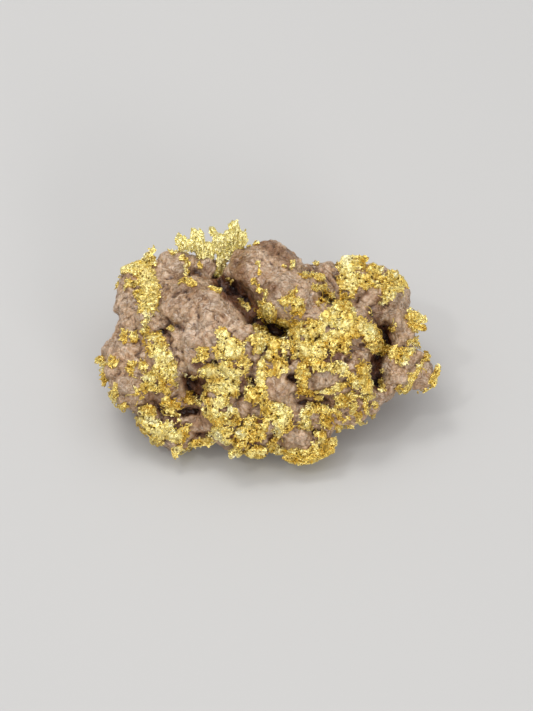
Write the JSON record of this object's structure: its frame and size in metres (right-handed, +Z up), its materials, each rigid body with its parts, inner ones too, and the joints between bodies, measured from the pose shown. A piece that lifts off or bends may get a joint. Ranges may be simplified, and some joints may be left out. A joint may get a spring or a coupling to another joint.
{
  "type": "leaf gold specimen",
  "caption": "Loose lump of brown quartz with leaf gold grown over its showing side and sprays of gold leaves standing up behind it.",
  "frame": {"origin": "on the surface that the specimen rests on, under the middle of its box", "axes": "+X along the specimen's length, +Y from its showing side to its back, +Z up from the surface it rests on"},
  "size_m": [0.0182, 0.0118, 0.0084],
  "materials": {
    "quartz": "satin",
    "gold": "gloss"
  },
  "bodies": {
    "root": {"quartz_matrix": "quartz", "gold_shoulder_crust": "gold", "gold_left_blade": "gold", "gold_left_patch": "gold", "gold_left_border": "gold", "gold_centre_drape": "gold", "gold_right_mantle": "gold", "gold_right_crest": "gold", "gold_tip_rim": "gold", "gold_foot_lace": "gold", "gold_shelf_lace": "gold", "gold_cleft_flake": "gold", "gold_back_crust": "gold", "gold_back_ledge": "gold", "gold_end_crust": "gold", "gold_small_spray": "gold", "gold_tall_spray": "gold"}
  },
  "joints": []
}
